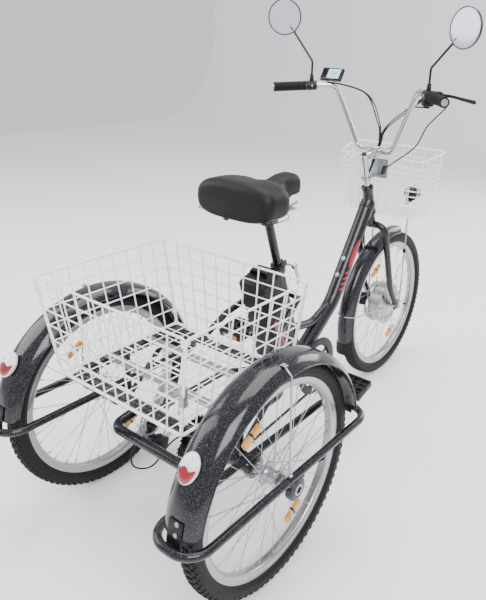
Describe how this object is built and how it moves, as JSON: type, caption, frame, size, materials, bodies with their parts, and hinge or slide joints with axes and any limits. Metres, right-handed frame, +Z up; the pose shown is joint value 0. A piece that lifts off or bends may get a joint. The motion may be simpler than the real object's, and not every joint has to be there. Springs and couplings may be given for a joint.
{
  "type": "adult tricycle",
  "caption": "Electric step-through tricycle with hub-motor front wheel, high swept bars, mirrors, frame battery, and wire baskets over the front wheel and between the rear wheels.",
  "frame": {"origin": "On the ground, midway between the two sides and midway between the foremost tyre and the rear ends of the wheel guards", "axes": "+Z up; the tricycle faces -Y; +X is the rider's left"},
  "size_m": [0.809, 1.8135, 1.4529],
  "materials": {
    "black_paint": "gloss black with fine metallic flake",
    "fender_black": "gloss black with fine metallic flake",
    "black_plastic": "satin black",
    "chrome": "polished",
    "silver": "satin",
    "rubber": "matt, ribbed",
    "tyre": "knobbed tread",
    "white_wire": "white plastic coating",
    "red_lens": "clear red",
    "saddle_skin": "matt black",
    "steel": "oiled",
    "mirror": "polished"
  },
  "bodies": {
    "frame": {"main_frame": "black_paint", "rear_carriage": "black_paint", "wheel_guard_left": "black_paint", "wheel_guard_right": "black_paint", "rear_fender_left": "fender_black", "rear_fender_right": "fender_black", "tail_lamp_left": "red_lens", "tail_lamp_right": "red_lens", "basket_floor": "white_wire", "basket_wall_front": "white_wire", "basket_wall_rear": "white_wire", "basket_wall_left": "white_wire", "basket_wall_right": "white_wire", "battery_dock": "black_plastic", "rear_caliper": "black_plastic", "derailleur": "black_plastic", "drive_chain": "steel", "seat_clamp": "black_paint"},
    "steering": {"fork": "black_paint", "front_fender": "fender_black", "stem": "chrome", "handlebar": "chrome", "grip_left": "rubber", "grip_right": "rubber", "lever_mount_left": "black_plastic", "lever_mount_right": "black_plastic", "display": "black_plastic", "front_basket": "white_wire", "headlight": "black_plastic", "front_caliper": "black_plastic", "control_cables": "black_plastic"},
    "front_wheel": {"front_tyre": "tyre", "front_wheel": "silver"},
    "left_wheel": {"left_tyre": "tyre", "left_wheel": "silver"},
    "rear_axle": {"right_tyre": "tyre", "right_wheel": "silver", "axle_shaft": "steel"},
    "freewheel": {"sprocket": "steel"},
    "crank": {"crankset": "black_paint", "left_crank": "black_paint"},
    "pedal_left": {"pedal_left": "black_plastic"},
    "pedal_right": {"pedal_right": "black_plastic"},
    "seat_post": {"seat_post": "black_paint"},
    "saddle": {"saddle_base": "steel", "saddle": "saddle_skin"},
    "saddle_lever": {"saddle_lever": "black_plastic"},
    "seat_lever": {"seat_lever": "silver"},
    "brake_lever_left": {"brake_lever_left": "black_plastic"},
    "brake_lever_right": {"brake_lever_right": "black_plastic"},
    "throttle": {"throttle_grip": "rubber"},
    "shifter": {"shifter_lever": "black_plastic"},
    "mirror_stalk_left": {"mirror_stalk_left": "black_paint"},
    "mirror_stalk_right": {"mirror_stalk_right": "black_paint"},
    "mirror_head_left": {"mirror_head_left": "mirror"},
    "mirror_head_right": {"mirror_head_right": "mirror"},
    "battery": {"battery": "black_plastic"},
    "button_up": {"button_up": "rubber"},
    "button_power": {"button_power": "rubber"},
    "button_down": {"button_down": "rubber"}
  },
  "joints": [
    {"name": "steering_turn", "type": "hinge", "parent": "frame", "child": "steering", "pos_m": [0, -0.42838, 0.72172], "axis": [0, 0.3256, 0.9455], "range_deg": [-45, 45]},
    {"name": "front_wheel_spin", "type": "hinge", "parent": "steering", "child": "front_wheel", "pos_m": [0, -0.60375, 0.303], "axis": [1, 0, 0], "continuous": true},
    {"name": "left_wheel_spin", "type": "hinge", "parent": "frame", "child": "left_wheel", "pos_m": [0, 0.55125, 0.303], "axis": [1, 0, 0], "continuous": true},
    {"name": "rear_axle_spin", "type": "hinge", "parent": "frame", "child": "rear_axle", "pos_m": [0, 0.55125, 0.303], "axis": [1, 0, 0], "continuous": true},
    {"name": "crank_spin", "type": "hinge", "parent": "frame", "child": "crank", "pos_m": [0, 0.00625, 0.29], "axis": [1, 0, 0], "continuous": true},
    {"name": "freewheel_spin", "type": "hinge", "parent": "frame", "child": "freewheel", "pos_m": [0, 0.55125, 0.303], "axis": [1, 0, 0], "continuous": true},
    {"name": "pedal_left_spin", "type": "hinge", "parent": "crank", "child": "pedal_left", "pos_m": [0, 0.127, 0.39497], "axis": [1, 0, 0], "continuous": true},
    {"name": "pedal_right_spin", "type": "hinge", "parent": "crank", "child": "pedal_right", "pos_m": [0, -0.1145, 0.18503], "axis": [1, 0, 0], "continuous": true},
    {"name": "seat_height", "type": "slide", "parent": "frame", "child": "seat_post", "axis": [0, 0.3173, 0.9483], "range_m": [-0.08, 0.1]},
    {"name": "saddle_flip", "type": "hinge", "parent": "seat_post", "child": "saddle", "pos_m": [0, 0.14635, 0.83232], "axis": [1, 0, 0], "range_deg": [0, 60]},
    {"name": "saddle_lever_pull", "type": "hinge", "parent": "saddle", "child": "saddle_lever", "pos_m": [0.032, 0.23235, 0.83782], "axis": [0, 0, 1], "range_deg": [0, 20], "stiffness_Nm_per_rad": 0.5, "springref_deg": -5.73},
    {"name": "seat_lever_swing", "type": "hinge", "parent": "frame", "child": "seat_lever", "pos_m": [-0.0443, 0.103, 0.66519], "axis": [0, 0.9483, -0.3173], "range_deg": [0, 150]},
    {"name": "brake_left_squeeze", "type": "hinge", "parent": "steering", "child": "brake_lever_left", "pos_m": [0.25151, -0.35885, 1.1711], "axis": [0, 0, 1], "range_deg": [0, 24], "stiffness_Nm_per_rad": 2, "springref_deg": -5.73},
    {"name": "brake_right_squeeze", "type": "hinge", "parent": "steering", "child": "brake_lever_right", "pos_m": [-0.25151, -0.35885, 1.1711], "axis": [0, 0, -1], "range_deg": [0, 24], "stiffness_Nm_per_rad": 2, "springref_deg": -5.73},
    {"name": "throttle_twist", "type": "hinge", "parent": "steering", "child": "throttle", "pos_m": [-0.24044, -0.31946, 1.16779], "axis": [-0.7166, 0.6942, -0.0672], "range_deg": [0, 70], "stiffness_Nm_per_rad": 0.2, "springref_deg": -11.46},
    {"name": "shifter_push", "type": "hinge", "parent": "steering", "child": "shifter", "pos_m": [-0.22646, -0.333, 1.1351], "axis": [0, 0, 1], "range_deg": [-30, 30]},
    {"name": "mirror_left_swivel", "type": "hinge", "parent": "steering", "child": "mirror_stalk_left", "pos_m": [0.22646, -0.333, 1.1994], "axis": [0, 0, 1], "range_deg": [-40, 40]},
    {"name": "mirror_left_tilt", "type": "hinge", "parent": "mirror_stalk_left", "child": "mirror_head_left", "pos_m": [0.29746, -0.305, 1.3544], "axis": [0.5538, 0.2184, 0.8035], "range_deg": [-30, 30]},
    {"name": "mirror_right_swivel", "type": "hinge", "parent": "steering", "child": "mirror_stalk_right", "pos_m": [-0.22646, -0.333, 1.1994], "axis": [0, 0, 1], "range_deg": [-40, 40]},
    {"name": "mirror_right_tilt", "type": "hinge", "parent": "mirror_stalk_right", "child": "mirror_head_right", "pos_m": [-0.30946, -0.305, 1.3364], "axis": [-0.68, 0.2294, 0.6964], "range_deg": [-30, 30]},
    {"name": "battery_lift", "type": "slide", "parent": "frame", "child": "battery", "axis": [0, 0.3173, 0.9483], "range_m": [0, 0.11]},
    {"name": "button_up_press", "type": "slide", "parent": "steering", "child": "button_up", "axis": [0, -0.848, -0.5299], "range_m": [0, 0.001], "stiffness_N_per_m": 300, "springref_m": -0.0005},
    {"name": "button_power_press", "type": "slide", "parent": "steering", "child": "button_power", "axis": [0, -0.848, -0.5299], "range_m": [0, 0.001], "stiffness_N_per_m": 300, "springref_m": -0.0005},
    {"name": "button_down_press", "type": "slide", "parent": "steering", "child": "button_down", "axis": [0, -0.848, -0.5299], "range_m": [0, 0.001], "stiffness_N_per_m": 300, "springref_m": -0.0005}
  ],
  "couplings": [
    {"joint": "freewheel_spin", "follows": "crank_spin", "ratio": 2.2}
  ]
}
